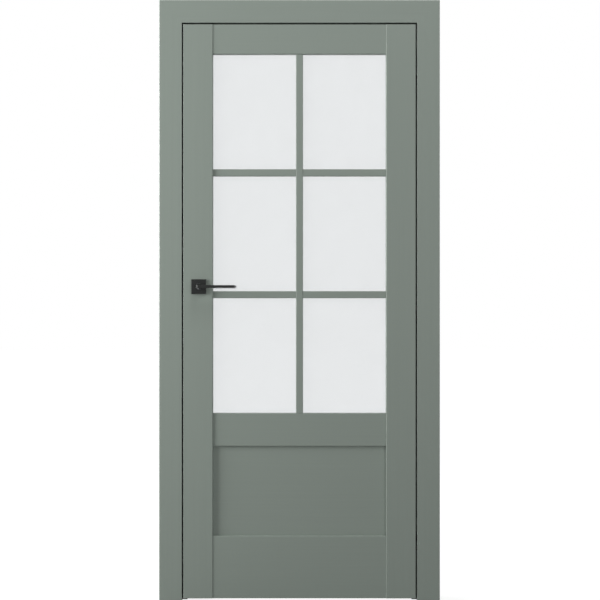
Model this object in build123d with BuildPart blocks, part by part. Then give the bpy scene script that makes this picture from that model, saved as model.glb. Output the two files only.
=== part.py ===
from build123d import *
from math import cos, radians, sin, sqrt
import os

# A painted timber door: six frosted lights over one recessed panel, hung in a rebated frame. Millimetres.
# X runs across the doorway with the hinges on the right, Y runs from the front through the wall, Z is up.
# The origin is on the floor, midway across the doorway, in the plane of the wall's front face.
os.makedirs("parts", exist_ok=True)

# Leaf and doorway
leaf_width = 826.0
leaf_height = 2040.0
leaf_thickness = 40.0
side_gap = 5.0
head_gap = 6.0
floor_gap = 10.0

# Stiles, rails and lower panel
stile_width = 105.0
top_rail_height = 105.0
mid_rail_height = 118.0
bottom_rail_height = 222.0
panel_opening_height = 318.0
end_rail_setback = 3.0
mid_rail_setback = 7.0
panel_thickness = 10.0
sight_round = 3.0
outer_round = 1.5
groove_depth = 12.5
groove_clearance = 0.1
edge_clearance = 1.0
dowel_radius = 4.0
dowel_length = 80.0
dowel_clearance = 0.05
dowel_margin = 30.0
end_rail_dowels = 2
bottom_rail_dowels = 3

# Glass and glazing bars
glass_thickness = 6.0
glass_bite = 10.0
gasket_web = 1.4
gasket_inset = 0.5
bar_width = 25.0
upright_bar_setback = 7.0
cross_bar_setback = 8.0
bar_round = 2.5
lights_high = 3

# Frame, casing and seal
frame_depth = 100.0
jamb_thickness = 42.0
stop_cover = 12.0
seal_gap = 3.0
stop_round = 2.0
casing_width = 81.0
casing_thickness = 8.0
casing_outer_round = 3.0
casing_inner_round = 1.5
tongue_thickness = 4.0
tongue_length = 12.0
tongue_from_back = 4.0
tongue_clearance = 0.1
seal_width = 16.0
seal_base = 1.2
seal_bulb_radius = 1.3
seal_bulb_wall = 0.5
seal_stem_width = 2.6
seal_stem_depth = 7.0
seal_stem_inset = 6.0
frame_screw_radius = 2.5
frame_screw_head_radius = 5.0
frame_screw_length = 90.0
fixing_hole_radius = 4.0
fixing_head_radius = 7.5
fixing_head_depth = 6.0
fixing_depth = 20.0
fixing_middle = 1050.0
fixing_outer_spacing = 1300.0
fixing_inner_spacing = 600.0

# Wood screws of the hinges, the faceplate and the strike plate
screw_radius = 2.0
screw_head_radius = 4.0
screw_length = 30.0
screw_clearance = 0.1

# Concealed hinges
open_angle = 110.0
hinge_inset = 200.0
pin_reach = 21.0
pin_behind_casing = 5.0
pin_radius = 2.25
pin_clearance = 0.06
eye_wall = 2.15
arm_height = 40.0
arm_clearance = 0.6
hook_thickness = 6.4
plate_height = 100.0
plate_width = 28.0
plate_thickness = 4.0
plate_middle = 14.0
plate_screw_rise = 30.0
plate_screw_step = 12.0
housing_wall = 1.6
housing_end = 6.0
housing_play = 0.3
ear_thickness = 3.0
ear_width = 26.0
ear_middle = 17.0

# Lock, with its spindle one backset in from the leaf's edge
backset = 55.0
handle_height = 1118.0
lever_turn = 40.0
latch_throw = 10.0
case_thickness = 16.0
case_wall = 1.5
case_length = 80.0
case_below = 32.0
case_above = 45.0
case_clearance = 0.2
bolt_hole_clearance = 0.3
faceplate_thickness = 3.0
faceplate_width = 22.0
faceplate_height = 196.0
faceplate_screw_spacing = 176.0
hub_radius = 9.0
hub_boss_radius = 7.0
hub_play = 0.3
hub_clearance = 0.06
lug_radius = 2.5
lug_neck = 3.0
lug_thickness = 4.0
fork_play = 0.3
fork_prong = 3.0
fork_bridge = 3.0
fork_height = 5.4
retractor_thickness = 5.0
shank_size = 4.0
head_length = 3.0
head_height = 12.0
head_width = 7.0
latch_width = 12.0
latch_height = 20.0
latch_nose = 11.0
latch_back_wall = 2.2
latch_floor = 1.5
latch_play = 0.4
latch_round = 1.0
spring_wire = 0.4
latch_spring_radius = 3.5
latch_spring_turns = 4
retractor_spring_radius = 3.0
retractor_spring_turns = 7
spring_seat_play = 0.1
magnet_radius = 4.0
magnet_length = 3.0

# Strike in the lock jamb
strike_thickness = 2.0
strike_width = 24.0
strike_height = 140.0
strike_screw_spacing = 116.0
strike_play = 1.5
strike_box_wall = 1.2
strike_floor_play = 1.5
strike_magnet_radius = 6.0
strike_magnet_length = 4.0

# Roses, spindle and levers
rose_size = 52.0
rose_thickness = 8.0
rose_wall = 1.5
rose_round = 1.0
rose_base_thickness = 6.0
rose_base_clearance = 0.2
neck_radius = 10.0
neck_clearance = 0.06
cover_clearance = 0.4
neck_leaf_play = 0.4
rose_bolt_spacing = 38.0
rose_bolt_radius = 2.0
rose_bolt_head_radius = 3.5
rose_bolt_head = 2.5
spindle_size = 8.0
spindle_clearance = 0.05
spindle_reach = 38.0
spindle_hole_radius = 11.0
lever_projection = 58.0
lever_length = 130.0
lever_blade_height = 9.5
lever_blade_depth = 16.0
lever_root_height = 14.0
lever_taper_length = 48.0
lever_tip_radius = 5.0
lever_heel_radius = 9.0
lever_round = 2.5
grub_radius = 2.5
grub_length = 5.5
grub_reach = 16.0
grub_hex = 2.5
grub_hex_depth = 2.0

# Places across the doorway
leaf_edge = leaf_width / 2
rebate_face = leaf_edge + side_gap
stop_edge = leaf_edge - stop_cover
jamb_back = rebate_face + jamb_thickness
casing_edge = rebate_face + casing_width
sight_edge = leaf_edge - stile_width

# Places through the wall
leaf_front = -casing_thickness
leaf_back = leaf_front + leaf_thickness
leaf_middle = leaf_front + leaf_thickness / 2
stop_front = leaf_back + seal_gap
rear_casing_face = frame_depth + casing_thickness

# Heights
leaf_bottom = floor_gap
leaf_top = leaf_bottom + leaf_height
rebate_head = leaf_top + head_gap
stop_head = leaf_top - stop_cover
jamb_top = rebate_head + jamb_thickness
panel_bottom = leaf_bottom + bottom_rail_height
panel_top = panel_bottom + panel_opening_height
glass_bottom = panel_top + mid_rail_height
glass_top = leaf_top - top_rail_height
pin_x = leaf_edge + pin_reach
pin_y = pin_behind_casing
spindle_x = backset - leaf_edge
latch_reach = latch_throw / (2 * sin(radians(lever_turn / 2)))
latch_height_middle = handle_height + latch_reach
hinge_heights = {
    "bottom": leaf_bottom + hinge_inset,
    "middle": leaf_bottom + leaf_height / 2,
    "top": leaf_top - hinge_inset,
}

MIDDLE = (Align.CENTER, Align.CENTER, Align.CENTER)
BELOW = (Align.CENTER, Align.CENTER, Align.MAX)
ABOVE = (Align.CENTER, Align.CENTER, Align.MIN)


def save(piece, name):
    """Labels a finished piece and writes its STEP file."""
    piece.label = name
    export_step(piece, f"parts/{name}.step")


def block(low, high, mode=Mode.ADD):
    """Adds or cuts a rectangular block between two opposite corners."""
    size = [b - a for a, b in zip(low, high)]
    with Locations(tuple((a + b) / 2 for a, b in zip(low, high))):
        Box(*size, mode=mode)


def facing(x, y, z, direction):
    """The plane at a point whose normal is the given direction."""
    return Plane(origin=(x, y, z), z_dir=direction)


def countersunk(places, radius, head_radius, length, clearance=0.0, mode=Mode.ADD):
    """Countersunk screws with their heads flush on the given planes, or their holes."""
    with Locations(*places):
        Cylinder(radius + clearance, length + clearance, align=BELOW, mode=mode)
        Cone(radius + clearance, head_radius + clearance, head_radius - radius, align=BELOW, mode=mode)


def wood_screws(places, clearance=0.0, mode=Mode.ADD):
    countersunk(places, screw_radius, screw_head_radius, screw_length, clearance, mode)


def face_of(points, mode=Mode.ADD):
    """Fills the closed outline through the points."""
    Polygon(*points, align=None, mode=mode)


def round_corners(sketch, places, radius):
    """Rounds the corners of an open sketch that lie at the given points of its own plane."""
    corners = [min(sketch.vertices(), key=lambda v: (Vector(v) - Vector(*place)).length) for place in places]
    fillet(corners, radius)


# The U of the doorway's edge, up one side, over the head and down the other, along which grooves and seal run
def doorway_path(edge, head, depth):
    return Polyline((edge, depth, 0), (edge, depth, head), (-edge, depth, head), (-edge, depth, 0))


# Seal with its lip on the stop's face, a hollow bulb towards the leaf and a stem in a kerf
seal_outline = [
    (stop_edge, stop_front),
    (stop_edge, stop_front - seal_base),
    (stop_edge + seal_width, stop_front - seal_base),
    (stop_edge + seal_width, stop_front),
]
stem_low = stop_edge + seal_stem_inset - seal_stem_width / 2
bulb_centre = (stop_edge + seal_stem_inset, stop_front - seal_base)

with BuildPart() as door_seal:
    with BuildLine():
        seal_path = doorway_path(stop_edge, stop_head, stop_front)
    with BuildSketch():
        face_of(seal_outline)
        with Locations(bulb_centre):
            Circle(seal_bulb_radius)
            Circle(seal_bulb_radius - seal_bulb_wall, mode=Mode.SUBTRACT)
        with Locations((stem_low + seal_stem_width / 2, stop_front)):
            Rectangle(seal_stem_width, seal_stem_depth, align=(Align.CENTER, Align.MIN))
    sweep(path=seal_path, transition=Transition.RIGHT)
save(door_seal.part, "door_seal")

# What is cut from the stops and jambs: the seal's kerf and the grooves of the front and rear casings
tongue_inset = jamb_thickness - tongue_from_back - tongue_thickness
rear_tongue_inset = tongue_inset + rebate_face - stop_edge

with BuildPart() as frame_grooves:
    with BuildLine():
        kerf_path = doorway_path(stop_edge, stop_head, stop_front)
    with BuildSketch():
        with Locations((stem_low + seal_stem_width / 2, stop_front)):
            Rectangle(
                seal_stem_width + tongue_clearance,
                seal_stem_depth + tongue_clearance,
                align=(Align.CENTER, Align.MIN),
            )
    sweep(path=kerf_path, transition=Transition.RIGHT)
    with BuildLine():
        front_path = doorway_path(rebate_face, rebate_head, 0)
    with BuildSketch():
        with Locations((rebate_face + tongue_inset - tongue_clearance, 0)):
            Rectangle(
                tongue_thickness + 2 * tongue_clearance,
                tongue_length + tongue_clearance,
                align=(Align.MIN, Align.MIN),
            )
    sweep(path=front_path, transition=Transition.RIGHT)
    with BuildLine():
        rear_path = doorway_path(stop_edge, stop_head, frame_depth)
    with BuildSketch():
        with Locations((stop_edge + rear_tongue_inset - tongue_clearance, frame_depth)):
            Rectangle(
                tongue_thickness + 2 * tongue_clearance,
                tongue_length + tongue_clearance,
                align=(Align.MIN, Align.MAX),
            )
    sweep(path=rear_path, transition=Transition.RIGHT)

# Places of the frame's own screws, and of the holes for the wall's screws
head_screw_height = rebate_head + jamb_thickness / 2
head_screw_depths = (stop_front / 2, (stop_front + frame_depth) / 2)
fixing_heights = [
    fixing_middle + sign * spacing / 2
    for spacing in (fixing_outer_spacing, fixing_inner_spacing)
    for sign in (-1, 1)
]


def frame_screws_at(side):
    return [facing(side * jamb_back, depth, head_screw_height, (side, 0, 0)) for depth in head_screw_depths]


def draw_jamb(side):
    """Adds one upright jamb with its grooves and screw holes, right of the doorway or left of it."""
    outline = [
        (side * rebate_face, 0),
        (side * jamb_back, 0),
        (side * jamb_back, frame_depth),
        (side * rebate_face, frame_depth),
    ]
    with BuildSketch() as section:
        face_of(outline)
    extrude(section.sketch, amount=jamb_top)
    add(frame_grooves.part, mode=Mode.SUBTRACT)
    countersunk(
        frame_screws_at(side),
        frame_screw_radius,
        frame_screw_head_radius,
        frame_screw_length,
        screw_clearance,
        Mode.SUBTRACT,
    )
    with Locations(*[facing(side * rebate_face, fixing_depth, z, (-side, 0, 0)) for z in fixing_heights]):
        Cylinder(fixing_hole_radius, jamb_thickness, align=BELOW, mode=Mode.SUBTRACT)
        Cylinder(fixing_head_radius, fixing_head_depth, align=BELOW, mode=Mode.SUBTRACT)


# Hinge arm, seen from above round its pin: an eye, a straight stem and a hook that clears the casing's corner
# when the leaf is open, ending in a plate let into the leaf's edge
eye_radius = pin_radius + pin_clearance + eye_wall
hook_inner = pin_reach + arm_clearance
hook_outer = hook_inner + hook_thickness
stem_angle = 180 - open_angle
plate_face = leaf_edge - pin_x
stem_length = sqrt(hook_outer**2 - eye_radius**2)
stem_far = (2 * hook_outer * cos(radians(stem_angle)), 2 * hook_outer * sin(radians(stem_angle)))

# Housing, open towards the leaf and closed by the casing in front
pocket_reach = (
    eye_radius * sin(radians(stem_angle))
    + stem_length * cos(radians(stem_angle))
    + arm_clearance
)
housing_inner_x = pin_x + pocket_reach
housing_outer_x = housing_inner_x + housing_wall
housing_inner_y = pin_y + hook_outer + arm_clearance
housing_outer_y = housing_inner_y + housing_wall
housing_inner_z = arm_height / 2 + housing_play
housing_outer_z = housing_inner_z + housing_end
ear_screw_rise = (housing_outer_z + plate_height / 2) / 2


def plate_screws_at(z):
    return [
        facing(leaf_edge, plate_middle + side * plate_screw_step / 2, z + end * rise, (1, 0, 0))
        for end in (-1, 1)
        for side, rise in ((-1, plate_screw_rise), (1, plate_screw_rise + plate_screw_step))
    ]


def ear_screws_at(z):
    return [facing(rebate_face, ear_middle, z + end * ear_screw_rise, (-1, 0, 0)) for end in (-1, 1)]


def housing_shell(z, mode=Mode.ADD):
    """The outside of a hinge housing with its two ears, or the pocket that takes it."""
    block(
        (rebate_face, 0, z - housing_outer_z),
        (housing_outer_x, housing_outer_y, z + housing_outer_z),
        mode,
    )
    block(
        (rebate_face, ear_middle - ear_width / 2, z - plate_height / 2),
        (rebate_face + ear_thickness, ear_middle + ear_width / 2, z + plate_height / 2),
        mode,
    )


for place, height in hinge_heights.items():
    with BuildPart() as hinge_housing:
        housing_shell(height)
        block(
            (rebate_face, 0, height - housing_inner_z),
            (housing_inner_x, housing_inner_y, height + housing_inner_z),
            Mode.SUBTRACT,
        )
        with Locations((pin_x, pin_y, height)):
            Cylinder(pin_radius, 2 * housing_outer_z, align=MIDDLE, mode=Mode.SUBTRACT)
        wood_screws(ear_screws_at(height), screw_clearance, Mode.SUBTRACT)
    save(hinge_housing.part, f"hinge_housing_{place}")

    with BuildPart() as hinge_arm:
        with BuildSketch(Plane.XY.offset(height - arm_height / 2)):
            with Locations((pin_x, pin_y)):
                Circle(hook_outer)
                Circle(hook_inner, mode=Mode.SUBTRACT)
                face_of([(0, 0), stem_far, (plate_face, 2 * hook_outer), (plate_face, 0)], Mode.INTERSECT)
            with Locations(Location((pin_x, pin_y, 0), (0, 0, stem_angle))):
                Rectangle(stem_length, 2 * eye_radius, align=(Align.MIN, Align.CENTER))
            with Locations((pin_x, pin_y)):
                Circle(eye_radius)
                Circle(pin_radius + pin_clearance, mode=Mode.SUBTRACT)
        extrude(amount=arm_height)
        block(
            (leaf_edge - plate_thickness, plate_middle - plate_width / 2, height - plate_height / 2),
            (leaf_edge, plate_middle + plate_width / 2, height + plate_height / 2),
        )
        wood_screws(plate_screws_at(height), screw_clearance, Mode.SUBTRACT)
    save(hinge_arm.part, f"hinge_arm_{place}")

with BuildPart() as hinge_pins:
    with Locations(*[(pin_x, pin_y, height) for height in hinge_heights.values()]):
        Cylinder(pin_radius, 2 * housing_outer_z, align=MIDDLE)
save(hinge_pins.part, "hinge_pins")

with BuildPart() as hinge_jamb:
    draw_jamb(1)
    for height in hinge_heights.values():
        housing_shell(height, Mode.SUBTRACT)
        wood_screws(ear_screws_at(height), 0, Mode.SUBTRACT)
save(hinge_jamb.part, "hinge_jamb")

# Planted stops, one up each jamb with its edge at the doorway eased, and the head's fitted between them
for side, name in ((1, "hinge_stop"), (-1, "lock_stop")):
    outline = [
        (side * stop_edge, stop_front),
        (side * rebate_face, stop_front),
        (side * rebate_face, frame_depth),
        (side * stop_edge, frame_depth),
    ]
    with BuildPart() as side_stop:
        with BuildSketch() as section:
            face_of(outline)
            round_corners(section, [outline[0]], stop_round)
        extrude(amount=rebate_head)
        add(frame_grooves.part, mode=Mode.SUBTRACT)
    save(side_stop.part, name)

with BuildPart() as head_stop:
    block((-stop_edge, stop_front, stop_head), (stop_edge, frame_depth, rebate_head))
    add(frame_grooves.part, mode=Mode.SUBTRACT)
save(head_stop.part, "head_stop")

# Head jamb, fitted between the two uprights
with BuildPart() as head_jamb:
    block((-rebate_face, 0, rebate_head), (rebate_face, frame_depth, jamb_top))
    add(frame_grooves.part, mode=Mode.SUBTRACT)
    for side in (-1, 1):
        countersunk(
            frame_screws_at(side),
            frame_screw_radius,
            frame_screw_head_radius,
            frame_screw_length,
            0,
            Mode.SUBTRACT,
        )
save(head_jamb.part, "head_jamb")

with BuildPart() as frame_screws:
    for side in (-1, 1):
        countersunk(
            frame_screws_at(side), frame_screw_radius, frame_screw_head_radius, frame_screw_length
        )
save(frame_screws.part, "frame_screws")

# Casing: a flat board with eased front arrises and a tongue in the jamb, mitred at the head
def draw_casing_section(inner, back, tongue_at, out):
    """A casing's section in X and Y: inner edge at x, back against y, thick in the direction out."""
    front = back + out * casing_thickness
    with BuildSketch() as section:
        face_of([(inner, back), (inner + casing_width, back), (inner + casing_width, front), (inner, front)])
        round_corners(section, [(inner + casing_width, front)], casing_outer_round)
        round_corners(section, [(inner, front)], casing_inner_round)
        face_of(
            [
                (inner + tongue_at, back),
                (inner + tongue_at + tongue_thickness, back),
                (inner + tongue_at + tongue_thickness, back - out * tongue_length),
                (inner + tongue_at, back - out * tongue_length),
            ]
        )
    return section.sketch


casings = {
    "front": (rebate_face, rebate_head, 0, tongue_inset, -1),
    "rear": (stop_edge, stop_head, frame_depth, rear_tongue_inset, 1),
}
for where, (inner, head, back, tongue_at, out) in casings.items():
    section = draw_casing_section(inner, back, tongue_at, out)
    mitre = Plane(origin=(inner, back, head), z_dir=(-1, 0, 1))
    with BuildPart() as hinge_side:
        extrude(section, amount=head + casing_width)
        split(bisect_by=mitre, keep=Keep.BOTTOM)
    save(hinge_side.part, f"{where}_casing_hinge_side")

    with BuildPart() as lock_side:
        add(mirror(hinge_side.part, about=Plane.YZ, mode=Mode.PRIVATE))
    save(lock_side.part, f"{where}_casing_lock_side")

    # The head is the same section turned on its side, drawn across the doorway and cut to both mitres
    with BuildPart() as head_casing:
        turned = Location((0, 0, head)) * Rotation(0, -90, 0) * Location((-inner, 0, -inner - casing_width))
        extrude(turned * section, amount=2 * (inner + casing_width), dir=(-1, 0, 0))
        split(bisect_by=mitre, keep=Keep.TOP)
        split(bisect_by=Plane(origin=(-inner, back, head), z_dir=(1, 0, 1)), keep=Keep.TOP)
    save(head_casing.part, f"{where}_casing_head")

# Stiles, full height, with a groove along the inner edge for rails, glass and panel
groove_width = panel_thickness + 2 * groove_clearance
rail_heights = {
    "top": (glass_top, leaf_top, end_rail_dowels),
    "mid": (panel_top, glass_bottom, end_rail_dowels),
    "bottom": (leaf_bottom, panel_bottom, bottom_rail_dowels),
}
dowel_heights = [
    low + dowel_margin + number * (high - low - 2 * dowel_margin) / (count - 1)
    for low, high, count in rail_heights.values()
    for number in range(count)
]
dowel_places = [(side * sight_edge, leaf_middle, z) for side in (-1, 1) for z in dowel_heights]


def dowels(radius, length, mode=Mode.ADD):
    with Locations(*dowel_places):
        Cylinder(radius, length, rotation=(0, 90, 0), mode=mode)


def dowel_holes():
    dowels(dowel_radius + dowel_clearance, dowel_length + 2 * dowel_clearance, Mode.SUBTRACT)


def draw_stile(side):
    """Adds a stile with its groove, rounded sight edges and dowel holes."""
    inner = side * sight_edge
    outer = side * leaf_edge
    with BuildSketch() as section:
        face_of([(inner, leaf_front), (outer, leaf_front), (outer, leaf_back), (inner, leaf_back)])
        round_corners(section, [(inner, leaf_front), (inner, leaf_back)], sight_round)
        round_corners(section, [(outer, leaf_front), (outer, leaf_back)], outer_round)
        with Locations((inner, leaf_middle)):
            Rectangle(2 * groove_depth, groove_width, mode=Mode.SUBTRACT)
    extrude(Plane.XY.offset(leaf_bottom) * section.sketch, amount=leaf_height)
    dowel_holes()


with BuildPart() as hinge_stile:
    draw_stile(1)
    for height in hinge_heights.values():
        block(
            (leaf_edge - plate_thickness, plate_middle - plate_width / 2, height - plate_height / 2),
            (leaf_edge, plate_middle + plate_width / 2, height + plate_height / 2),
            Mode.SUBTRACT,
        )
        wood_screws(plate_screws_at(height), 0, Mode.SUBTRACT)
save(hinge_stile.part, "hinge_stile")


def draw_rail(low, high, setback, rounded, grooved):
    """Adds a rail between the stiles, tongued into their grooves and itself grooved for glass or panel."""
    front = leaf_front + setback
    back = leaf_back - setback
    with BuildSketch(Plane.YZ) as section:
        face_of([(front, low), (back, low), (back, high), (front, high)])
        round_corners(section, [(y, z) for y in (front, back) for z in rounded], sight_round)
    extrude(section.sketch, amount=sight_edge, both=True)
    tongue = sight_edge + groove_depth - edge_clearance
    block(
        (-tongue, leaf_middle - panel_thickness / 2, low),
        (tongue, leaf_middle + panel_thickness / 2, high),
    )
    for z in grooved:
        block(
            (-leaf_edge, leaf_middle - groove_width / 2, z - groove_depth),
            (leaf_edge, leaf_middle + groove_width / 2, z + groove_depth),
            Mode.SUBTRACT,
        )
    dowel_holes()


with BuildPart() as top_rail:
    draw_rail(glass_top, leaf_top, end_rail_setback, [glass_top], [glass_top])
save(top_rail.part, "top_rail")

with BuildPart() as mid_rail:
    draw_rail(panel_top, glass_bottom, mid_rail_setback, [panel_top, glass_bottom], [panel_top, glass_bottom])
save(mid_rail.part, "mid_rail")

with BuildPart() as bottom_rail:
    draw_rail(leaf_bottom, panel_bottom, end_rail_setback, [panel_bottom], [panel_bottom])
save(bottom_rail.part, "bottom_rail")

with BuildPart() as rail_dowels:
    dowels(dowel_radius, dowel_length)
save(rail_dowels.part, "rail_dowels")

panel_bite = groove_depth - edge_clearance
with BuildPart() as lower_panel:
    block(
        (-sight_edge - panel_bite, leaf_middle - panel_thickness / 2, panel_bottom - panel_bite),
        (sight_edge + panel_bite, leaf_middle + panel_thickness / 2, panel_top + panel_bite),
    )
save(lower_panel.part, "lower_panel")

# Glass, held in the grooves by a gasket that wraps its edge and stays just inside them
glass_front = leaf_middle - glass_thickness / 2
glass_back = leaf_middle + glass_thickness / 2
glass_low = (-sight_edge - glass_bite, glass_front, glass_bottom - glass_bite)
glass_high = (sight_edge + glass_bite, glass_back, glass_top + glass_bite)
with BuildPart() as glass_pane:
    block(glass_low, glass_high)
save(glass_pane.part, "glass_pane")

gasket_bite = glass_bite + gasket_web
with BuildPart() as glazing_gasket:
    block(
        (-sight_edge - gasket_bite, leaf_middle - panel_thickness / 2, glass_bottom - gasket_bite),
        (sight_edge + gasket_bite, leaf_middle + panel_thickness / 2, glass_top + gasket_bite),
    )
    block(
        (-sight_edge - gasket_inset, leaf_front, glass_bottom - gasket_inset),
        (sight_edge + gasket_inset, leaf_back, glass_top + gasket_inset),
        Mode.SUBTRACT,
    )
    block(glass_low, glass_high, Mode.SUBTRACT)
save(glazing_gasket.part, "glazing_gasket")

# Glazing bars on both faces of the glass, the upright halved over the two cross bars
light_height = (glass_top - glass_bottom - (lights_high - 1) * bar_width) / lights_high
cross_bar_heights = [
    glass_bottom + number * light_height + (number - 0.5) * bar_width for number in range(1, lights_high)
]
bar_halving = (glass_front - leaf_front - cross_bar_setback) / 2


def draw_bar(length, thickness):
    """Adds a bar along Z from the origin, its flat back on y = 0 and its rounded face towards -Y."""
    half = bar_width / 2
    with BuildSketch() as section:
        face_of([(-half, 0), (half, 0), (half, -thickness), (-half, -thickness)])
        round_corners(section, [(-half, -thickness), (half, -thickness)], bar_round)
    extrude(section.sketch, amount=length)


upright_thickness = glass_front - leaf_front - upright_bar_setback
cross_thickness = glass_front - leaf_front - cross_bar_setback
faces = {"front": (glass_front, 0), "rear": (glass_back, 180)}
for where, (face, turn) in faces.items():
    with BuildPart() as upright_bar:
        draw_bar(glass_top - glass_bottom, upright_thickness)
        for z in cross_bar_heights:
            block(
                (-bar_width, -bar_halving, z - glass_bottom - bar_width / 2),
                (bar_width, 0, z - glass_bottom + bar_width / 2),
                Mode.SUBTRACT,
            )
    save(Location((0, face, glass_bottom), (0, 0, turn)) * upright_bar.part, f"{where}_upright_bar")

    for level, z in zip(("lower", "upper"), cross_bar_heights):
        with BuildPart() as cross_bar:
            draw_bar(2 * sight_edge, cross_thickness)
            block(
                (-bar_width, -2 * cross_thickness, sight_edge - bar_width / 2),
                (bar_width, -bar_halving, sight_edge + bar_width / 2),
                Mode.SUBTRACT,
            )
        across = Location((0, face, z), (0, 0, turn)) * Rotation(0, 90, 0) * Location((0, 0, -sight_edge))
        save(across * cross_bar.part, f"{where}_cross_bar_{level}")

# Lock: case, follower, retractor and latch bolt. The follower's lug swings evenly about the upright and draws
# the retractor by its fork. The retractor's head pulls in a bolt that has slid out against its spring.
case_front = faceplate_thickness - leaf_edge
case_end = case_front + case_length
case_low = handle_height - case_below
case_high = handle_height + case_above
case_y = (leaf_middle - case_thickness / 2, leaf_middle + case_thickness / 2)
cover_face = case_y[1] - case_wall
rose_bolt_places = [(spindle_x + side * rose_bolt_spacing / 2, handle_height) for side in (-1, 1)]
faceplate_middle = (case_low + case_high) / 2
faceplate_plane = Plane(origin=(-leaf_edge, leaf_middle, faceplate_middle), x_dir=(0, 0, 1), z_dir=(-1, 0, 0))
faceplate_screws = [
    facing(-leaf_edge, leaf_middle, faceplate_middle + side * faceplate_screw_spacing / 2, (-1, 0, 0))
    for side in (-1, 1)
]
latch_y = (leaf_middle - latch_width / 2, leaf_middle + latch_width / 2)
latch_z = (latch_height_middle - latch_height / 2, latch_height_middle + latch_height / 2)
latch_tip = -leaf_edge
pocket_front = latch_tip + latch_nose
head_front = pocket_front + latch_play
head_back = head_front + head_length
spring_solid = 2 * spring_wire * latch_spring_turns
pocket_back = head_back + latch_throw + spring_solid + latch_play
latch_back = pocket_back + latch_back_wall
fork_middle = spindle_x - latch_throw / 2
fork_half = lug_radius + fork_play
fork_top = latch_height_middle + lug_radius + fork_play


def through_y(x, z, radius, low, high, mode=Mode.ADD):
    """Adds or cuts a cylinder along Y at x and z."""
    with Locations(Plane(origin=(x, low, z), z_dir=(0, 1, 0))):
        Cylinder(radius, high - low, align=ABOVE, mode=mode)


def latch_mouth(low_x, high_x):
    """Cuts the way of the latch bolt through a plate across its path."""
    block(
        (low_x, latch_y[0] - latch_play, latch_z[0] - latch_play),
        (high_x, latch_y[1] + latch_play, latch_z[1] + latch_play),
        Mode.SUBTRACT,
    )


def rose_bolt_holes(low, high):
    for x, z in rose_bolt_places:
        through_y(x, z, rose_bolt_radius + bolt_hole_clearance, low, high, Mode.SUBTRACT)


with BuildPart() as lock_case:
    block((case_front, case_y[0], case_low), (case_end, cover_face, case_high))
    block(
        (case_front + case_wall, case_y[0] + case_wall, case_low + case_wall),
        (case_end - case_wall, cover_face, case_high - case_wall),
        Mode.SUBTRACT,
    )
    latch_mouth(case_front, case_front + case_wall)
    through_y(
        spindle_x, handle_height, hub_boss_radius + hub_clearance, case_y[0], cover_face, Mode.SUBTRACT
    )
    rose_bolt_holes(case_y[0], cover_face)
save(lock_case.part, "lock_case")

with BuildPart() as lock_cover:
    block((case_front, cover_face, case_low), (case_end, case_y[1], case_high))
    through_y(
        spindle_x, handle_height, hub_boss_radius + hub_clearance, cover_face, case_y[1], Mode.SUBTRACT
    )
    rose_bolt_holes(cover_face, case_y[1])
save(lock_cover.part, "lock_cover")

with BuildPart() as lock_faceplate:
    with BuildSketch(faceplate_plane):
        SlotOverall(faceplate_height, faceplate_width)
    extrude(amount=-faceplate_thickness)
    latch_mouth(-leaf_edge, case_front)
    wood_screws(faceplate_screws, screw_clearance, Mode.SUBTRACT)
save(lock_faceplate.part, "lock_faceplate")

lock_plane = Plane(origin=(spindle_x, leaf_middle, handle_height), x_dir=(1, 0, 0), z_dir=(0, -1, 0))
socket_size = spindle_size + 2 * spindle_clearance
with BuildPart() as lock_follower:
    through_y(
        spindle_x, handle_height, hub_radius, case_y[0] + case_wall + hub_play, cover_face - hub_play
    )
    through_y(spindle_x, handle_height, hub_boss_radius, *case_y)
    with BuildSketch(lock_plane):
        with Locations(Location((0, 0, 0), (0, 0, lever_turn / 2))):
            Rectangle(lug_neck, latch_reach, align=(Align.CENTER, Align.MIN))
            with Locations((0, latch_reach)):
                Circle(lug_radius)
    extrude(amount=lug_thickness / 2, both=True)
    with BuildSketch(lock_plane):
        Rectangle(socket_size, socket_size)
    extrude(amount=case_thickness, both=True, mode=Mode.SUBTRACT)
save(lock_follower.part, "lock_follower")

with BuildPart() as retractor:
    block(
        (fork_middle - fork_half - fork_prong, leaf_middle - retractor_thickness / 2, fork_top - fork_height),
        (fork_middle + fork_half + fork_prong, leaf_middle + retractor_thickness / 2, fork_top + fork_bridge),
    )
    block(
        (fork_middle - fork_half, leaf_middle - retractor_thickness, fork_top - fork_height),
        (fork_middle + fork_half, leaf_middle + retractor_thickness, fork_top),
        Mode.SUBTRACT,
    )
    block(
        (head_front, leaf_middle - shank_size / 2, latch_height_middle - shank_size / 2),
        (fork_middle - fork_half, leaf_middle + shank_size / 2, latch_height_middle + shank_size / 2),
    )
    block(
        (head_front, leaf_middle - head_width / 2, latch_height_middle - head_height / 2),
        (head_back, leaf_middle + head_width / 2, latch_height_middle + head_height / 2),
    )
save(retractor.part, "retractor")

with BuildPart() as latch_bolt:
    block((latch_tip, latch_y[0], latch_z[0]), (latch_back, latch_y[1], latch_z[1]))
    fillet(latch_bolt.faces().sort_by(Axis.X)[0].edges(), latch_round)
    block(
        (pocket_front, latch_y[0] + latch_floor, latch_height_middle - head_height / 2 - latch_play),
        (pocket_back, latch_y[1], latch_height_middle + head_height / 2 + latch_play),
        Mode.SUBTRACT,
    )
    shank_room = shank_size / 2 + latch_play
    block(
        (pocket_back, leaf_middle - shank_room, latch_height_middle - shank_room),
        (latch_back, latch_y[1], latch_height_middle + shank_room),
        Mode.SUBTRACT,
    )
    with Locations(facing(latch_tip, leaf_middle, latch_height_middle, (-1, 0, 0))):
        Cylinder(magnet_radius, magnet_length, align=BELOW, mode=Mode.SUBTRACT)
save(latch_bolt.part, "latch_bolt")

with BuildPart() as latch_magnet:
    with Locations(facing(latch_tip, leaf_middle, latch_height_middle, (-1, 0, 0))):
        Cylinder(magnet_radius, magnet_length, align=BELOW)
save(latch_magnet.part, "latch_magnet")


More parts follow.
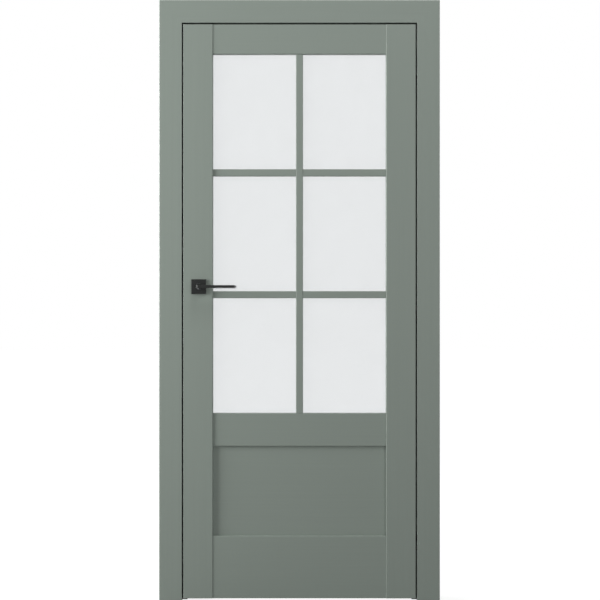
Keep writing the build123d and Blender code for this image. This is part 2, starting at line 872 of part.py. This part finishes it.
def coil_spring(low_x, high_x, z, radius, turns):
    """Adds a coil spring along X between two seats, at the lock's mid plane."""
    start = low_x + spring_wire + spring_seat_play
    length = high_x - low_x - 2 * (spring_wire + spring_seat_play)
    with BuildLine() as coil:
        Helix(length / turns, length, radius, center=(start, leaf_middle, z), direction=(1, 0, 0))
    with BuildSketch(Plane(origin=coil.line @ 0, z_dir=coil.line % 0)) as wire:
        Circle(spring_wire)
    sweep(wire.sketch, path=coil.line, is_frenet=True)


with BuildPart() as latch_spring:
    coil_spring(head_back, pocket_back, latch_height_middle, latch_spring_radius, latch_spring_turns)
save(latch_spring.part, "latch_spring")

fork_back = fork_middle + fork_half + fork_prong
retractor_spring_height = fork_top + fork_bridge - retractor_spring_radius - 2 * spring_wire
with BuildPart() as retractor_spring:
    coil_spring(
        fork_back,
        case_end - case_wall,
        retractor_spring_height,
        retractor_spring_radius,
        retractor_spring_turns,
    )
save(retractor_spring.part, "retractor_spring")

with BuildPart() as lock_stile:
    draw_stile(-1)
    with BuildSketch(faceplate_plane):
        SlotOverall(faceplate_height, faceplate_width)
    extrude(amount=-faceplate_thickness, mode=Mode.SUBTRACT)
    block(
        (-leaf_edge, case_y[0] - case_clearance, case_low - case_clearance),
        (case_end + case_clearance, case_y[1] + case_clearance, case_high + case_clearance),
        Mode.SUBTRACT,
    )
    through_y(spindle_x, handle_height, spindle_hole_radius, leaf_front, leaf_back, Mode.SUBTRACT)
    rose_bolt_holes(leaf_front, leaf_back)
    wood_screws(faceplate_screws, 0, Mode.SUBTRACT)
save(lock_stile.part, "lock_stile")

with BuildPart() as leaf_wood_screws:
    for height in hinge_heights.values():
        wood_screws(plate_screws_at(height))
    wood_screws(faceplate_screws)
save(leaf_wood_screws.part, "leaf_wood_screws")

# Strike: plate, box and magnet in the lock jamb
strike_back = -rebate_face - strike_thickness
strike_floor = latch_tip - latch_throw - strike_floor_play
magnet_face = strike_floor - strike_box_wall
strike_box_back = magnet_face - strike_magnet_length
strike_y = (latch_y[0] - strike_play, latch_y[1] + strike_play)
strike_z = (latch_z[0] - strike_play, latch_z[1] + strike_play)
strike_plane = Plane(
    origin=(-rebate_face, leaf_middle, latch_height_middle), x_dir=(0, 0, 1), z_dir=(1, 0, 0)
)
strike_screws = [
    facing(-rebate_face, leaf_middle, latch_height_middle + side * strike_screw_spacing / 2, (1, 0, 0))
    for side in (-1, 1)
]
box_low = (strike_box_back, strike_y[0] - strike_box_wall, strike_z[0] - strike_box_wall)
box_high = (strike_back, strike_y[1] + strike_box_wall, strike_z[1] + strike_box_wall)

with BuildPart() as strike_plate:
    with BuildSketch(strike_plane):
        SlotOverall(strike_height, strike_width)
    extrude(amount=-strike_thickness)
    block((strike_back, strike_y[0], strike_z[0]), (-rebate_face, strike_y[1], strike_z[1]), Mode.SUBTRACT)
    wood_screws(strike_screws, screw_clearance, Mode.SUBTRACT)
save(strike_plate.part, "strike_plate")

with BuildPart() as strike_box:
    block(box_low, box_high)
    block((strike_floor, strike_y[0], strike_z[0]), (strike_back, strike_y[1], strike_z[1]), Mode.SUBTRACT)
    with Locations(facing(magnet_face, leaf_middle, latch_height_middle, (1, 0, 0))):
        Cylinder(strike_magnet_radius, strike_magnet_length, align=BELOW, mode=Mode.SUBTRACT)
save(strike_box.part, "strike_box")

with BuildPart() as strike_magnet:
    with Locations(facing(magnet_face, leaf_middle, latch_height_middle, (1, 0, 0))):
        Cylinder(strike_magnet_radius, strike_magnet_length, align=BELOW)
save(strike_magnet.part, "strike_magnet")

with BuildPart() as lock_jamb:
    draw_jamb(-1)
    with BuildSketch(strike_plane):
        SlotOverall(strike_height, strike_width)
    extrude(amount=-strike_thickness, mode=Mode.SUBTRACT)
    block(box_low, box_high, Mode.SUBTRACT)
    wood_screws(strike_screws, 0, Mode.SUBTRACT)
save(lock_jamb.part, "lock_jamb")

with BuildPart() as frame_wood_screws:
    for height in hinge_heights.values():
        wood_screws(ear_screws_at(height))
    wood_screws(strike_screws)
save(frame_wood_screws.part, "frame_wood_screws")

# Roses: a fixing plate screwed to its twin through the leaf, under a square cover
rose_inner = rose_size - 2 * rose_wall
cover_depth = rose_thickness - rose_wall
base_size = rose_inner - 2 * rose_base_clearance


def draw_rose_base(face, out):
    """Adds a fixing plate standing on the leaf's face towards out, with the lever's bearing."""
    low, high = sorted((face, face + out * rose_base_thickness))
    block(
        (spindle_x - base_size / 2, low, handle_height - base_size / 2),
        (spindle_x + base_size / 2, high, handle_height + base_size / 2),
    )
    through_y(spindle_x, handle_height, neck_radius + neck_clearance, low, high, Mode.SUBTRACT)


with BuildPart() as rose_base_front:
    draw_rose_base(leaf_front, -1)
    for x, z in rose_bolt_places:
        through_y(x, z, rose_bolt_radius, leaf_front - rose_base_thickness, leaf_front, Mode.SUBTRACT)
save(rose_base_front.part, "rose_base_front")

bolt_head_face = leaf_back + rose_base_thickness
with BuildPart() as rose_base_rear:
    draw_rose_base(leaf_back, 1)
    rose_bolt_holes(leaf_back, bolt_head_face)
    for x, z in rose_bolt_places:
        through_y(
            x,
            z,
            rose_bolt_head_radius + bolt_hole_clearance,
            bolt_head_face - rose_bolt_head,
            bolt_head_face,
            Mode.SUBTRACT,
        )
save(rose_base_rear.part, "rose_base_rear")

with BuildPart() as rose_bolts:
    for x, z in rose_bolt_places:
        through_y(x, z, rose_bolt_radius, leaf_front - rose_base_thickness, bolt_head_face - rose_bolt_head)
        through_y(x, z, rose_bolt_head_radius, bolt_head_face - rose_bolt_head, bolt_head_face)
save(rose_bolts.part, "rose_bolts")

with BuildPart() as rose_cover:
    block(
        (spindle_x - rose_size / 2, leaf_front - rose_thickness, handle_height - rose_size / 2),
        (spindle_x + rose_size / 2, leaf_front, handle_height + rose_size / 2),
    )
    fillet(rose_cover.edges().filter_by(Axis.Y), rose_round)
    fillet(rose_cover.faces().sort_by(Axis.Y)[0].edges(), rose_round)
    block(
        (spindle_x - rose_inner / 2, leaf_front - cover_depth, handle_height - rose_inner / 2),
        (spindle_x + rose_inner / 2, leaf_front, handle_height + rose_inner / 2),
        Mode.SUBTRACT,
    )
    through_y(
        spindle_x,
        handle_height,
        neck_radius + cover_clearance,
        leaf_front - rose_thickness,
        leaf_front,
        Mode.SUBTRACT,
    )
mid_plane = Plane(origin=(0, leaf_middle, 0), z_dir=(0, 1, 0))
save(rose_cover.part, "rose_cover_front")
save(mirror(rose_cover.part, about=mid_plane), "rose_cover_rear")

# Lever: a neck that narrows from the rose to the blade, and a flat blade that thins from root to tip
blade_front = leaf_front - lever_projection
blade_back = blade_front + lever_blade_depth
root = lever_root_height / 2
tip = lever_blade_height / 2
neck_start = leaf_front - neck_leaf_play
neck_shoulder = leaf_front - rose_thickness - neck_leaf_play
grub_y = leaf_front - grub_reach
spindle_end = leaf_front - spindle_reach

with BuildPart() as front_lever:
    with BuildSketch(lock_plane) as silhouette:
        face_of(
            [
                (-root, -root),
                (root, -root),
                (lever_taper_length, -tip),
                (lever_length, -tip),
                (lever_length, tip),
                (lever_taper_length, tip),
                (root, root),
                (-root, root),
            ]
        )
    blade_depths = Plane(origin=(spindle_x, 0, handle_height))
    extrude(amount=leaf_middle - blade_front)
    with BuildSketch(blade_depths) as plan:
        face_of(
            [
                (-root, blade_front),
                (lever_length, blade_front),
                (lever_length, blade_back),
                (-root, blade_back),
            ]
        )
        round_corners(plan, [(-root, blade_front)], lever_heel_radius)
        round_corners(plan, [(lever_length, blade_front), (lever_length, blade_back)], lever_tip_radius)
    extrude(amount=root, both=True, mode=Mode.INTERSECT)
    fillet(front_lever.edges(), lever_round)
    through_y(spindle_x, handle_height, neck_radius, neck_shoulder, neck_start)
    with Locations(Plane(origin=(spindle_x, neck_shoulder, handle_height), z_dir=(0, -1, 0))):
        Cone(neck_radius, root, neck_shoulder - blade_back + lever_round, align=ABOVE)
    with BuildSketch(Plane(origin=(spindle_x, neck_start, handle_height), z_dir=(0, -1, 0))):
        Rectangle(socket_size, socket_size)
    extrude(amount=neck_start - spindle_end + edge_clearance, mode=Mode.SUBTRACT)
    with Locations((spindle_x, grub_y, handle_height - spindle_size / 2)):
        Cylinder(grub_radius, neck_radius, align=BELOW, mode=Mode.SUBTRACT)
save(front_lever.part, "front_lever")
save(mirror(front_lever.part, about=mid_plane), "rear_lever")

with BuildPart() as spindle:
    with BuildSketch(lock_plane):
        Rectangle(spindle_size, spindle_size)
    extrude(amount=leaf_middle - spindle_end, both=True)
save(spindle.part, "spindle")

with BuildPart() as grub_screws:
    grub_depths = (grub_y, 2 * leaf_middle - grub_y)
    grub_places = [(spindle_x, y, handle_height - spindle_size / 2) for y in grub_depths]
    with Locations(*grub_places):
        Cylinder(grub_radius, grub_length, align=BELOW)
    with Locations(*[(x, y, z - grub_length) for x, y, z in grub_places]):
        Cylinder(grub_hex / 2, grub_hex_depth, align=ABOVE, mode=Mode.SUBTRACT)
save(grub_screws.part, "grub_screws")
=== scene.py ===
import bpy
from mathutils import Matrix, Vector


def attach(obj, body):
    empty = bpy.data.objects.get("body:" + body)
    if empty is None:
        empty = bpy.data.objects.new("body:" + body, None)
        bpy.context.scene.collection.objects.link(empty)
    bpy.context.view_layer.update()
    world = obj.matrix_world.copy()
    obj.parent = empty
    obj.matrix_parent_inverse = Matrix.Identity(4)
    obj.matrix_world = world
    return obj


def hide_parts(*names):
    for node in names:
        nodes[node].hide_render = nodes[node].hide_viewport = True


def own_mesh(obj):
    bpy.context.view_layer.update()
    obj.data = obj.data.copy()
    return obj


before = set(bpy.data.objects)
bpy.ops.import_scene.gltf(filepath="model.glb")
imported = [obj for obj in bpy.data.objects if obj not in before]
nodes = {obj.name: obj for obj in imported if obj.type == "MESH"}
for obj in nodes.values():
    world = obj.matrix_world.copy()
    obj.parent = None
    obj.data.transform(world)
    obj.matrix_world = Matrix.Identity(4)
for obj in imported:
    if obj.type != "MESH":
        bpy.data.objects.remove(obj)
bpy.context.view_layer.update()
scene = bpy.context.scene

# The axis that a board, a brushed line or an extrusion runs along
ACROSS, THROUGH, UPRIGHT = 0, 1, 2


def linear(code):
    """Turns an sRGB hex colour to the linear values that a shader socket takes."""
    parts = [int(code[i:i + 2], 16) / 255 for i in (1, 3, 5)]
    return [c / 12.92 if c <= 0.04045 else ((c + 0.055) / 1.055) ** 2.4 for c in parts] + [1.0]


def node(tree, kind, settings=None, links=None):
    """Adds a node, with settings for its sockets or its own options, and links from other nodes' outputs."""
    made = tree.nodes.new("ShaderNode" + kind)
    for name, value in (settings or {}).items():
        if isinstance(name, int) or name in made.inputs:
            made.inputs[name].default_value = value
        else:
            setattr(made, name, value)
    for name, output in (links or {}).items():
        tree.links.new(output, made.inputs[name])
    return made


def new_material(name):
    """Starts a node material and returns it with its tree, its surface shader and the part's own coordinates."""
    material = bpy.data.materials.new(name)
    material.use_nodes = True
    tree = material.node_tree
    surface = tree.nodes["Principled BSDF"]
    place = node(tree, "TexCoord").outputs["Object"]
    return material, tree, surface, place


def per_mm(across, along=None, axis=UPRIGHT):
    """Gives the scale of a pattern from its spacing in millimetres, which may differ along one axis."""
    scale = [1000 / across] * 3
    if along:
        scale[axis] = 1000 / along
    return scale


def shade(tree, surface, factor, low, high):
    """Varies the surface colour between two shades of the same paint or metal by a pattern."""
    mix = node(tree, "Mix", {"data_type": "RGBA", 6: linear(low), 7: linear(high)}, {0: factor})
    tree.links.new(mix.outputs[2], surface.inputs["Base Color"])


def satin_painted_timber(name, axis):
    """Satin water-based paint, rolled on primed timber: an even sage green, with the roller's stipple over a hint
    of the grain, which runs along the board's length."""
    material, tree, surface, place = new_material(name)
    surface.inputs["Roughness"].default_value = 0.42
    surface.inputs["IOR"].default_value = 1.47
    # Grain lines about 5 mm apart and 400 mm long, and stipple of 1.5 mm, as a 4 mm nap roller leaves it
    lines = node(tree, "Mapping", {"Scale": per_mm(5, 400, axis)}, {"Vector": place})
    grain = node(tree, "TexNoise", {"Scale": 1.0, "Detail": 3.0}, {"Vector": lines.outputs[0]})
    fine = node(tree, "Mapping", {"Scale": per_mm(1.5)}, {"Vector": place})
    stipple = node(tree, "TexNoise", {"Scale": 1.0, "Detail": 1.0}, {"Vector": fine.outputs[0]})
    shade(tree, surface, grain.outputs[0], "#8A948C", "#8E9890")
    raised = node(tree, "Bump", {"Strength": 0.12, "Distance": 0.0003}, {"Height": grain.outputs[0]})
    dimpled = node(
        tree, "Bump", {"Strength": 0.1, "Distance": 0.0001},
        {"Height": stipple.outputs[0], "Normal": raised.outputs[0]},
    )
    tree.links.new(dimpled.outputs[0], surface.inputs["Normal"])
    return material


def acid_etched_glass():
    """Float glass etched white on both faces: light passes, near things show as soft shapes, and it has a silky
    gloss."""
    material, tree, surface, place = new_material("acid_etched_glass")
    surface.inputs["Roughness"].default_value = 0.2
    surface.inputs["IOR"].default_value = 1.5
    surface.inputs["Transmission Weight"].default_value = 0.92
    # The etch's clouding is drawn at 40 mm, as its real grains are far too fine to show
    clouds = node(tree, "Mapping", {"Scale": per_mm(40)}, {"Vector": place})
    cloud = node(tree, "TexNoise", {"Scale": 1.0, "Detail": 2.0}, {"Vector": clouds.outputs[0]})
    shade(tree, surface, cloud.outputs[0], "#E9EBEC", "#EDEFF0")
    return material


def black_powder_coat():
    """Fine-textured black powder coat, baked on: a soft grey sheen where the light catches its grains."""
    material, tree, surface, place = new_material("black_powder_coat")
    surface.inputs["Roughness"].default_value = 0.34
    surface.inputs["Specular IOR Level"].default_value = 0.3
    # The coat's grains are about 0.3 mm, drawn at 0.8 mm to show in a close view
    grains = node(tree, "Mapping", {"Scale": per_mm(0.8)}, {"Vector": place})
    grain = node(tree, "TexNoise", {"Scale": 1.0, "Detail": 2.0}, {"Vector": grains.outputs[0]})
    shade(tree, surface, grain.outputs[0], "#131514", "#1A1C1B")
    dimpled = node(tree, "Bump", {"Strength": 0.12, "Distance": 0.0001}, {"Height": grain.outputs[0]})
    tree.links.new(dimpled.outputs[0], surface.inputs["Normal"])
    return material


def metal(name, low, high, roughness, across, along=None, axis=UPRIGHT):
    """A bare or plated metal, with the marks that its making left as fine lines or a fine grain."""
    material, tree, surface, place = new_material(name)
    surface.inputs["Metallic"].default_value = 1.0
    surface.inputs["Roughness"].default_value = roughness
    marks = node(tree, "Mapping", {"Scale": per_mm(across, along, axis)}, {"Vector": place})
    mark = node(tree, "TexNoise", {"Scale": 1.0, "Detail": 3.0}, {"Vector": marks.outputs[0]})
    shade(tree, surface, mark.outputs[0], low, high)
    scored = node(tree, "Bump", {"Strength": 0.15, "Distance": 0.0001}, {"Height": mark.outputs[0]})
    tree.links.new(scored.outputs[0], surface.inputs["Normal"])
    return material


def soft(name, low, high, roughness, across, along=None):
    """Rubber or plastic that takes its surface from the die or mould, with little gloss."""
    material, tree, surface, place = new_material(name)
    surface.inputs["Roughness"].default_value = roughness
    marks = node(tree, "Mapping", {"Scale": per_mm(across, along)}, {"Vector": place})
    mark = node(tree, "TexNoise", {"Scale": 1.0, "Detail": 2.0}, {"Vector": marks.outputs[0]})
    shade(tree, surface, mark.outputs[0], low, high)
    dulled = node(tree, "Bump", {"Strength": 0.2, "Distance": 0.0001}, {"Height": mark.outputs[0]})
    tree.links.new(dulled.outputs[0], surface.inputs["Normal"])
    return material


def turned_beech():
    """Beech dowel, turned and left bare: pale, with short darker flecks along the grain."""
    material, tree, surface, place = new_material("turned_beech")
    surface.inputs["Roughness"].default_value = 0.7
    flecks = node(tree, "Mapping", {"Scale": per_mm(1.2, 12, ACROSS)}, {"Vector": place})
    fleck = node(tree, "TexNoise", {"Scale": 1.0, "Detail": 4.0}, {"Vector": flecks.outputs[0]})
    shade(tree, surface, fleck.outputs[0], "#B58E62", "#D9BA8C")
    return material


painted_across = satin_painted_timber("satin_painted_timber_across", ACROSS)
painted_upright = satin_painted_timber("satin_painted_timber_upright", UPRIGHT)
hinge_nickel = metal("satin_nickel_on_cast_zinc", "#A9A8A5", "#B9B8B4", 0.34, 0.6)
turned_steel = metal("turned_steel", "#A8A9AC", "#BCBDC0", 0.28, 0.3, 30, THROUGH)
zinc_plate = metal("bright_zinc_plated_steel", "#A3A9B0", "#BFC4CA", 0.32, 4)
drawn_wire = metal("drawn_spring_wire", "#77797D", "#8D8F93", 0.35, 0.3)
nickel_plate = metal("nickel_plated_magnet", "#B9B9BA", "#C9C9CA", 0.18, 2)
powder_coat = black_powder_coat()
moulded_acetal = soft("moulded_black_acetal", "#191A1A", "#212222", 0.45, 0.8)
seal_rubber = soft("extruded_black_rubber", "#141414", "#1B1B1B", 0.75, 1, 60)
glazing_rubber = soft("extruded_grey_silicone", "#6C716B", "#777C76", 0.65, 1, 60)

FINISHES = {
    painted_across: (
        "head_jamb", "head_stop", "front_casing_head", "rear_casing_head",
        "top_rail", "mid_rail", "bottom_rail", "lower_panel",
        "front_cross_bar_lower", "front_cross_bar_upper", "rear_cross_bar_lower", "rear_cross_bar_upper",
    ),
    painted_upright: (
        "lock_jamb", "hinge_jamb", "lock_stop", "hinge_stop", "lock_stile", "hinge_stile",
        "front_upright_bar", "rear_upright_bar",
        "front_casing_lock_side", "front_casing_hinge_side", "rear_casing_lock_side", "rear_casing_hinge_side",
    ),
    acid_etched_glass(): ("glass_pane",),
    glazing_rubber: ("glazing_gasket",),
    seal_rubber: ("door_seal",),
    powder_coat: (
        "front_lever", "rear_lever", "rose_cover_front", "rose_cover_rear", "lock_faceplate", "strike_plate",
    ),
    hinge_nickel: (
        "hinge_housing_bottom", "hinge_housing_middle", "hinge_housing_top",
        "hinge_arm_bottom", "hinge_arm_middle", "hinge_arm_top",
    ),
    turned_steel: ("hinge_pins", "spindle", "lock_follower", "grub_screws", "rose_bolts"),
    zinc_plate: (
        "frame_screws", "frame_wood_screws", "leaf_wood_screws", "lock_case", "lock_cover", "rose_base_front",
        "rose_base_rear", "retractor",
    ),
    drawn_wire: ("retractor_spring", "latch_spring"),
    moulded_acetal: ("latch_bolt", "strike_box"),
    nickel_plate: ("latch_magnet", "strike_magnet"),
    turned_beech(): ("rail_dowels",),
}
for material, names in FINISHES.items():
    for name in names:
        piece = nodes[name]
        piece.data.materials.clear()
        piece.data.materials.append(material)


def coil_that_shortens(name, body):
    """Stands for one of the lock's springs: a copy of its mesh, carried by the given body, takes its place, and
    the original is hidden.
    """
    coil = bpy.data.objects.new(name + "_coil", nodes[name].data.copy())
    scene.collection.objects.link(coil)
    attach(coil, body)
    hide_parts(name)
    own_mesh(coil)


coil_that_shortens("latch_spring", "retractor")
coil_that_shortens("retractor_spring", "leaf")

# Studio: a white room that sheds little light itself, with a broad soft light at the left, near the wall's plane,
# which draws a shadow in every recess, one high above, and weaker ones on the right and behind
ROOM_GLOW = 0.05
FLOOR_HALF = 30.0
# The floor pales from the door's shadow to pure white between these distances from the door, in metres
SHADE_REACH, WHITE_FROM = 1.2, 3.5
SHADED_LIFT = 0.84
scene.view_settings.view_transform = "Standard"


def seen_directly(tree):
    """Gives 1 where the camera, a mirror or glass looks at the room, and 0 where the room only sheds light."""
    ray = node(tree, "LightPath").outputs
    seen = node(tree, "Math", {"operation": "MAXIMUM"}, {0: ray["Is Camera Ray"], 1: ray["Is Glossy Ray"]})
    through = node(tree, "Math", {"operation": "MAXIMUM"}, {0: seen.outputs[0], 1: ray["Is Transmission Ray"]})
    return through.outputs[0]


world = bpy.data.worlds.new("white_room")
scene.world = world
world.use_nodes = True
room = world.node_tree
room.nodes.clear()
strength = node(room, "Mix", {2: ROOM_GLOW, 3: 1.0}, {0: seen_directly(room)}).outputs[0]
background = node(room, "Background", {"Color": linear("#FFFFFF")}, {"Strength": strength})
node(room, "OutputWorld", links={"Surface": background.outputs[0]})


def soft_light(name, place, aim, size, power):
    """Hangs a panel light, with its place, aim and size in metres and its power in watts."""
    lamp = bpy.data.lights.new(name, "AREA")
    lamp.shape = "RECTANGLE"
    lamp.size, lamp.size_y = size
    lamp.energy = power
    holder = bpy.data.objects.new(name, lamp)
    holder.location = place
    holder.rotation_euler = (Vector(aim) - Vector(place)).to_track_quat("-Z", "Y").to_euler()
    scene.collection.objects.link(holder)


soft_light("left_window", (-2.6, -0.75, 1.6), (0, 0, 1.3), (1.8, 1.8), 91)
soft_light("ceiling_panel", (0.5, -1.6, 3.8), (0, 0, 1.2), (1.2, 1.2), 27)
soft_light("right_fill", (2.0, -3.0, 1.4), (0, 0, 1.2), (2.0, 2.0), 22)
soft_light("rear_window", (-2.4, 1.5, 1.9), (0, 0.1, 1.2), (1.6, 1.6), 70)
soft_light("hinge_side_fill", (3.0, 0.8, 1.6), (0.46, 0.05, 1.1), (1.6, 1.6), 40)

floor_mesh = bpy.data.meshes.new("floor")
corners = [(x * FLOOR_HALF, y * FLOOR_HALF, 0) for x, y in ((-1, -1), (1, -1), (1, 1), (-1, 1))]
floor_mesh.from_pydata(corners, [], [(0, 1, 2, 3)])
floor = bpy.data.objects.new("floor", floor_mesh)
scene.collection.objects.link(floor)
painted_floor, tree, surface, place = new_material("matt_white_studio_floor")
surface.inputs["Base Color"].default_value = linear("#8A8A8A")
surface.inputs["Roughness"].default_value = 1.0
surface.inputs["Specular IOR Level"].default_value = 0.0
surface.inputs["Emission Color"].default_value = linear("#FFFFFF")
away = node(tree, "VectorMath", {"operation": "LENGTH"}, {0: place}).outputs["Value"]
paling = node(
    tree, "MapRange",
    {"From Min": SHADE_REACH, "From Max": WHITE_FROM, "To Min": SHADED_LIFT, "To Max": 1.0}, {"Value": away},
)
lift = node(tree, "Math", {"operation": "MULTIPLY"}, {0: seen_directly(tree), 1: paling.outputs[0]})
tree.links.new(lift.outputs[0], surface.inputs["Emission Strength"])
floor_mesh.materials.append(painted_floor)

# Camera straight in front, at mid height, so that the photograph's 600 pixels take in the view height, in metres,
# at the casing's face
DISTANCE = 6.0
VIEW_HEIGHT = 2.132
CASING_FACE = -0.008
EYE_ACROSS = 0.0018
EYE_HEIGHT = 1.0705
camera = bpy.data.cameras.new("camera")
camera.sensor_width = 36.0
camera.lens = camera.sensor_width * DISTANCE / VIEW_HEIGHT
eye = bpy.data.objects.new("camera", camera)
eye.location = (EYE_ACROSS, CASING_FACE - DISTANCE, EYE_HEIGHT)
eye.rotation_euler = Vector((0, 1, 0)).to_track_quat("-Z", "Z").to_euler()
scene.collection.objects.link(eye)
scene.camera = eye
